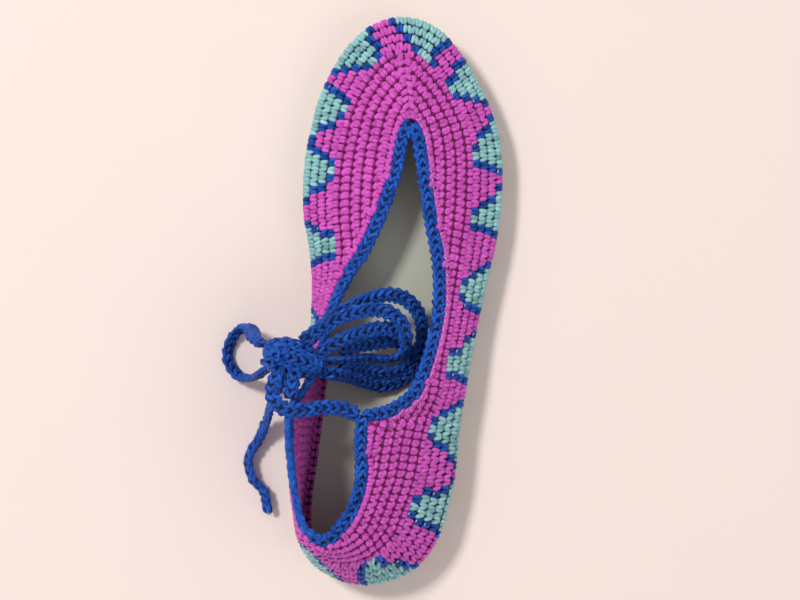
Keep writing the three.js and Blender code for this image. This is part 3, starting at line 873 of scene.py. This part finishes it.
def row_stitches(distance, pitch, edge_room, ridge_room):
    """Places of the stitches of one row: station, widening, point, way on, way up and way out."""
    points, up, outward = WALL_GRID.row(distance)
    stations = WALL_GRID.stations
    wider = WALL_GRID.widening()
    from_toe = np.minimum(stations, SECTION_COUNT - stations)
    room = np.where(from_toe <= RIDGE_ROWS, ridge_room, edge_room)
    found = []
    for indices, closed in runs_of(WALL_GRID.length - WALL_GRID.reach(distance) > room):
        unrolled = np.where(indices < indices[0], stations[indices] + SECTION_COUNT, stations[indices])
        line = points[indices]
        if closed:
            line = np.vstack([line, line[:1]])
            unrolled = np.append(unrolled, unrolled[0] + SECTION_COUNT)
            indices = np.append(indices, indices[0])
        reach = np.concatenate([[0], np.cumsum(np.linalg.norm(np.diff(line, axis=0), axis=1))])
        count = int(round(reach[-1] / pitch))
        if count < 1:
            continue
        at = (np.arange(count) + 0.5) * reach[-1] / count
        place = along_line(at, reach, line)
        ahead = along_line(np.minimum(at + 0.6, reach[-1]), reach, line) - along_line(np.maximum(at - 0.6, 0), reach, line)
        way = scale_free(ahead)
        out = scale_free(along_line(at, reach, outward[indices]))
        rise = scale_free(np.cross(way, out))
        found.append((np.interp(at, reach, unrolled) % SECTION_COUNT, np.interp(at, reach, wider[indices])[:, None],
                      place, way, rise, out))
    if not found:
        return None
    return [np.concatenate(parts) for parts in zip(*found)]


def sized(length, width, thickness):
    """Sizes of strands where some of them are columns of numbers."""
    return np.hstack(np.broadcast_arrays(length, width, thickness))


def row_reach(distance):
    """Distance along one row at every section, for the charting of the triangles."""
    points = WALL_GRID.row(distance)[0]
    line = np.vstack([points, points[:1]])
    return np.concatenate([[0], np.cumsum(np.linalg.norm(np.diff(line, axis=0), axis=1))])


def triangle_stations(distance):
    """The section on which each triangle's apex stands."""
    points = WALL_GRID.row(distance)[0]
    found = []
    for _, x, y, _, _ in TRIANGLES:
        away = np.hypot(points[:, 0] - (x + TIE_ORIGIN[0]), points[:, 1] - (y + TIE_ORIGIN[1]))
        found.append(WALL_GRID.stations[int(np.argmin(away))])
    return found


def charted(station, row, reach, apexes, stitch):
    """The yarn of each stitch of a band row: row 0 is the innermost, and the triangles widen outwards."""
    stations = np.append(WALL_GRID.stations, SECTION_COUNT)
    at = np.interp(station, stations, reach)
    colour = np.full(len(station), "magenta", dtype=object)
    for (hand, _, _, to_toe, to_heel), apex in zip(TRIANGLES, apexes):
        away = at - np.interp(apex, stations, reach)
        away = (away + reach[-1] / 2) % reach[-1] - reach[-1] / 2
        towards_toe = -away if hand == "lateral" else away
        level = np.where(towards_toe > 0, to_toe, to_heel)
        beyond = np.abs(towards_toe) / stitch - (0.55 + level * row)
        colour[(beyond <= 1.0) & (colour == "magenta")] = "blue"
        colour[beyond <= 0] = "mint"
    return colour


class SANDAL_OT_stitches(bpy.types.Operator):
    """Crochets the band of triangles and the plain field of the upper"""

    bl_idname = "sandal.stitches"
    bl_label = "Upper stitches"

    def execute(self, context):
        sizes = context.scene.sandal_sizes
        stitch, band_row, field_row = (value / MM for value in (sizes.stitch_length, sizes.band_row, sizes.field_row))
        made = {name: Strands(seed) for seed, name in enumerate(("band", "field", "blue", "mint", "pale", "inside", "holes"), 11)}
        top_row = sizes.band_rows - 1
        apexes = triangle_stations(FIRST_ROW + band_row * top_row)
        for k in range(sizes.band_rows):
            distance = FIRST_ROW + band_row * k
            row = top_row - k
            found = row_stitches(distance, stitch, 1.2, 0.4)
            if found is None:
                continue
            station, wider, place, way, rise, out = found
            colour = charted(station, row, row_reach(distance), apexes, stitch)
            for name, key in (("magenta", "band"), ("blue", "blue"), ("mint", "mint"), ("pale", "pale")):
                mask = colour == name
                self.band_stitch(made[key], place[mask], way[mask], rise[mask], out[mask], stitch, band_row * wider[mask])
            # Painted highlights: small pale strands laid on some blue stitches as glints.
            glint = (colour == "blue") & (made["pale"].random.random(len(colour)) < 0.16)
            made["pale"].add(place[glint] + rise[glint] * band_row * 0.42 + out[glint] * 0.72, way[glint] + rise[glint] * 0.4,
                             out[glint], (1.3, 0.5, 0.6), 0.4)
        top = band_top()
        longest = float(WALL_GRID.length.max())
        k = 0
        while top + field_row * (k + 0.5) < longest:
            distance = top + field_row * (k + 0.5)
            found = row_stitches(distance, stitch, 0.5, 1.0)
            if found is not None:
                _, _, place, way, rise, out = found
                self.field_stitch(made["field"], place, way, rise, out, stitch, field_row)
                # Dark blobs at the holes of each stitch: painted shade where the holes look dark.
                made["holes"].add(place + way * stitch * 0.5 + rise * field_row * 0.03 + out * 0.3, way + rise * 0.5,
                                  out, (1.8, 1.5, 1.0))
            k += 1
        self.edge_row(made["field"], made["pale"], stitch)
        self.ridge_row(made["field"], stitch)
        for distance in np.arange(1.8, longest, field_row):
            found = row_stitches(distance, stitch, 1.4, 3.0)
            if found is not None:
                station, wider, place, way, rise, out = found
                seen = np.minimum(station, SECTION_COUNT - station) > RIDGE_ROWS - 1
                row = field_row * (wider[seen] if distance < band_top() else np.ones_like(wider[seen]))
                self.inner_stitch(made["inside"], *(values[seen] for values in (place, way, rise, out)), stitch, row)
        yarn = yarns()
        # The blobs' colour is painted shade.
        holes = gap_shade_material("Hole shade", (0.15, 0.0015, 0.08))
        for key, name, material in (
                ("band", "stitches_band_magenta", yarn["magenta"]), ("field", "stitches_field", yarn["magenta"]),
                ("blue", "stitches_band_blue", yarn["blue"]), ("mint", "stitches_band_mint", yarn["mint"]),
                ("pale", "stitches_band_pale", yarn["pale"]), ("inside", "stitches_inside", yarn["magenta"]),
                ("holes", "stitches_field_hole_shade", holes)):
            add_object(name, made[key].mesh(name), material, ("upper",))
        return {"FINISHED"}

    @staticmethod
    def band_stitch(strands, place, way, rise, out, stitch, row):
        """Two plump legs side by side, which make the row look like a rope."""
        for hand in (1, -1):
            centre = place + way * (hand * stitch * 0.245) - out * 0.1
            axis = rise + way * (hand * 0.20 + 0.10)
            strands.add(centre, axis, out, sized(row * 0.97, stitch * 0.60, 2.3))

    @staticmethod
    def field_stitch(strands, place, way, rise, out, stitch, row):
        """Two round legs towards the sole and the slanting bar of the stitch's top, with holes at their corners."""
        for hand in (1, -1):
            centre = place + way * (hand * stitch * 0.20) - rise * row * 0.34 - out * 0.2
            strands.add(centre, rise + way * (hand * 0.06), out, (row * 0.66, stitch * 0.56, 2.2))
        centre = place + rise * row * 0.33 - out * 0.15
        strands.add(centre, way + rise * 0.42, out, (stitch * 0.96, row * 0.46, 2.1))

    @staticmethod
    def inner_stitch(strands, place, way, rise, out, stitch, row):
        """The plainer back of a stitch, on the inside of the wall."""
        inside = place - out * (WALL - 0.75)
        size = sized(stitch * 1.05, row * 0.46, 1.3)
        strands.add(inside + rise * row * 0.24, way + rise * 0.2, -out, size, 0.35)
        strands.add(inside - rise * row * 0.24, way - rise * 0.25, -out, size, 0.35)

    @staticmethod
    def edge_row(strands, dots, stitch):
        """The last line of loops, next to the edging, with pale dots beside it on the outer side."""
        stations = np.linspace(RIDGE_ROWS, SECTION_COUNT - RIDGE_ROWS, 700, endpoint=False)
        centre, tangent, back, outward = edge_frames(stations)
        line = centre + back * (EDGING_WIDTH / 2 + GAP + 1.0) + outward * (WALL / 2 - 0.3)
        at, reach, _ = resampled(line, stitch, True)
        place, way, side, out = (along_line(at, reach, values, True) for values in (line, tangent, back, outward))
        for hand in (1, -1):
            strands.add(place + way * hand * stitch * 0.24, side + way * hand * 0.25, out, (3.0, stitch * 0.52, 2.0))
        lateral = np.interp(at, reach[:-1], stations) < len(LATERAL) - 6
        dots.add(place[lateral] - side[lateral] * 1.1 + out[lateral] * 0.7 + way[lateral] * stitch * 0.5,
                 way[lateral], out[lateral], (1.2, 0.7, 0.6), 0.3)

    @staticmethod
    def ridge_row(strands, stitch):
        """The line of stitches over the toes, where the rows of both sides meet."""
        stations = np.linspace(0, RIDGE_ROWS, 60)
        line = section_ends(stations)
        way = scale_free(np.gradient(line, axis=0))
        side = scale_free(np.cross(way, (0.0, 0.0, 1.0)))
        out = np.cross(side, way)
        at, reach, _ = resampled(line, stitch)
        place, way, side, out = (along_line(at, reach, values) for values in (line, way, side, out))
        for hand in (1, -1):
            strands.add(place + side * hand * 1.2, side * hand + way * 0.8, out, (3.9, 2.5, 2.2))


class SANDAL_OT_edging(bpy.types.Operator):
    """Crochets the blue edging round the opening"""

    bl_idname = "sandal.edging"
    bl_label = "Edging"

    def execute(self, context):
        sizes = context.scene.sandal_sizes
        stations = np.linspace(RIDGE_ROWS, SECTION_COUNT - RIDGE_ROWS, 640, endpoint=False)
        centre, tangent, back, outward = edge_frames(stations)
        strands = Strands(300)
        chain(strands, centre, tangent, back, outward, sizes.chain_length / MM, EDGING_WIDTH, EDGING_THICKNESS, closed=True,
              tint=0.68)
        # The edging's dark blue core is painted shade, seen through the holes of the chain.
        core = tube_mesh("edging.core", centre[::4], outward[::4], back[::4], EDGING_WIDTH * 0.7, EDGING_THICKNESS * 0.55, True)
        piece = joined("crochet_edging", [(strands.mesh("edging.yarn", 0.25), yarns()["blue"]),
                                          (core, gap_shade_material("Blue gap shade", (0.0015, 0.005, 0.05)))])
        dress(piece, ("edging",))
        return {"FINISHED"}


class SANDAL_OT_insole(bpy.types.Operator):
    """Gives the insole its satin cloth"""

    bl_idname = "sandal.insole"
    bl_label = "Insole"

    def execute(self, context):
        colours = context.scene.sandal_colours
        satin, shader = grain_material("Satin lining", colours.lining, 0.42, 1400.0, 0.25, 0.0002, 0.06)
        shader.inputs["Sheen Weight"].default_value = 0.2
        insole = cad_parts["insole"]
        insole.data.materials.clear()
        insole.data.materials.append(satin)
        return {"FINISHED"}


class SANDAL_OT_outsole(bpy.types.Operator):
    """Gives the outsole its rubber"""

    bl_idname = "sandal.outsole"
    bl_label = "Outsole"

    def execute(self, context):
        colours = context.scene.sandal_colours
        rubber, shader = grain_material("Sole rubber", colours.sole, 0.7, 700.0, 0.4, 0.0004)
        self.tread(rubber, shader)
        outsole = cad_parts["outsole"]
        outsole.data.materials.clear()
        outsole.data.materials.append(rubber)
        return {"FINISHED"}

    @staticmethod
    def tread(material, shader):
        """Fine wavy ribs across the sole, on the faces that look down, added to the bump of the rubber."""
        nodes, link = material.node_tree.nodes, material.node_tree.links.new
        grain = shader.inputs["Normal"].links[0].from_node
        where = nodes.new("ShaderNodeTexCoord")
        ribs = nodes.new("ShaderNodeTexWave")
        ribs.bands_direction = "Y"
        ribs.inputs["Scale"].default_value = 62.0
        ribs.inputs["Distortion"].default_value = 1.5
        ribs.inputs["Detail"].default_value = 0.0
        ribs.inputs["Detail Scale"].default_value = 0.6
        facing = nodes.new("ShaderNodeNewGeometry")
        parts = nodes.new("ShaderNodeSeparateXYZ")
        down = nodes.new("ShaderNodeMath")
        down.operation = "LESS_THAN"
        down.inputs[1].default_value = -0.6
        only = nodes.new("ShaderNodeMath")
        only.operation = "MULTIPLY"
        bump = nodes.new("ShaderNodeBump")
        bump.inputs["Strength"].default_value = 0.9
        bump.inputs["Distance"].default_value = 0.001
        link(where.outputs["Object"], ribs.inputs["Vector"])
        link(facing.outputs["Normal"], parts.inputs[0])
        link(parts.outputs["Z"], down.inputs[0])
        link(down.outputs[0], only.inputs[0])
        link(ribs.outputs["Fac"], only.inputs[1])
        link(only.outputs[0], bump.inputs["Height"])
        link(grain.outputs[0], bump.inputs["Normal"])
        link(bump.outputs[0], shader.inputs["Normal"])


class SANDAL_OT_stage(bpy.types.Operator):
    """Adds the pale floor and the soft studio light"""

    bl_idname = "sandal.stage"
    bl_label = "Stage"

    def execute(self, context):
        colours = context.scene.sandal_colours
        shape = bmesh.new()
        bmesh.ops.create_grid(shape, x_segments=1, y_segments=1, size=3)
        bmesh.ops.translate(shape, vec=(0, 0, -0.0004), verts=shape.verts)
        mesh = bpy.data.meshes.new("floor")
        shape.to_mesh(mesh)
        shape.free()
        floor = bpy.data.objects.new("floor", mesh)
        context.scene.collection.objects.link(floor)
        material, _ = grain_material("Floor", colours.floor, 0.9, 60.0, 0.02, 0.0005, 0.01)
        mesh.materials.append(material)
        self.lamp("key", (-1.3, 0.9, 2.2), 0.45, 44.0, (1.0, 0.98, 0.96))
        self.lamp("fill", (1.6, -0.8, 2.0), 1.6, 9.0, (0.96, 0.97, 1.0))
        world = bpy.data.worlds.new("Studio")
        world.use_nodes = True
        world.node_tree.nodes["Background"].inputs["Color"].default_value = (1.0, 0.97, 0.96, 1)
        world.node_tree.nodes["Background"].inputs["Strength"].default_value = 0.46
        context.scene.world = world
        context.scene.view_settings.view_transform = "Standard"
        return {"FINISHED"}

    @staticmethod
    def lamp(name, location, size, power, colour):
        data = bpy.data.lights.new(name, "AREA")
        data.size, data.energy, data.color = size, power, colour
        light = bpy.data.objects.new(name, data)
        light.location = location
        light.rotation_euler = (-Vector(location)).to_track_quat("-Z", "Y").to_euler()
        bpy.context.scene.collection.objects.link(light)


STEPS = (
    SANDAL_OT_camera, SANDAL_OT_ties, SANDAL_OT_knot, SANDAL_OT_wall, SANDAL_OT_stitches,
    SANDAL_OT_edging, SANDAL_OT_insole, SANDAL_OT_outsole, SANDAL_OT_stage,
)


class SANDAL_PT_panel(bpy.types.Panel):
    """Lists the steps"""

    bl_idname = "SANDAL_PT_panel"
    bl_label = "Crocheted sandal"
    bl_space_type = "VIEW_3D"
    bl_region_type = "UI"
    bl_category = "Sandal"

    def draw(self, context):
        for step in STEPS:
            self.layout.operator(step.bl_idname)


CLASSES = (SandalSizes, SandalColours, *STEPS, SANDAL_PT_panel)


def register():
    for cls in CLASSES:
        bpy.utils.register_class(cls)
    bpy.types.Scene.sandal_sizes = PointerProperty(type=SandalSizes)
    bpy.types.Scene.sandal_colours = PointerProperty(type=SandalColours)


def unregister():
    del bpy.types.Scene.sandal_sizes
    del bpy.types.Scene.sandal_colours
    for cls in reversed(CLASSES):
        bpy.utils.unregister_class(cls)


def main():
    register()
    for step in STEPS:
        group, name = step.bl_idname.split(".")
        getattr(getattr(bpy.ops, group), name)()


if __name__ == "__main__":
    main()
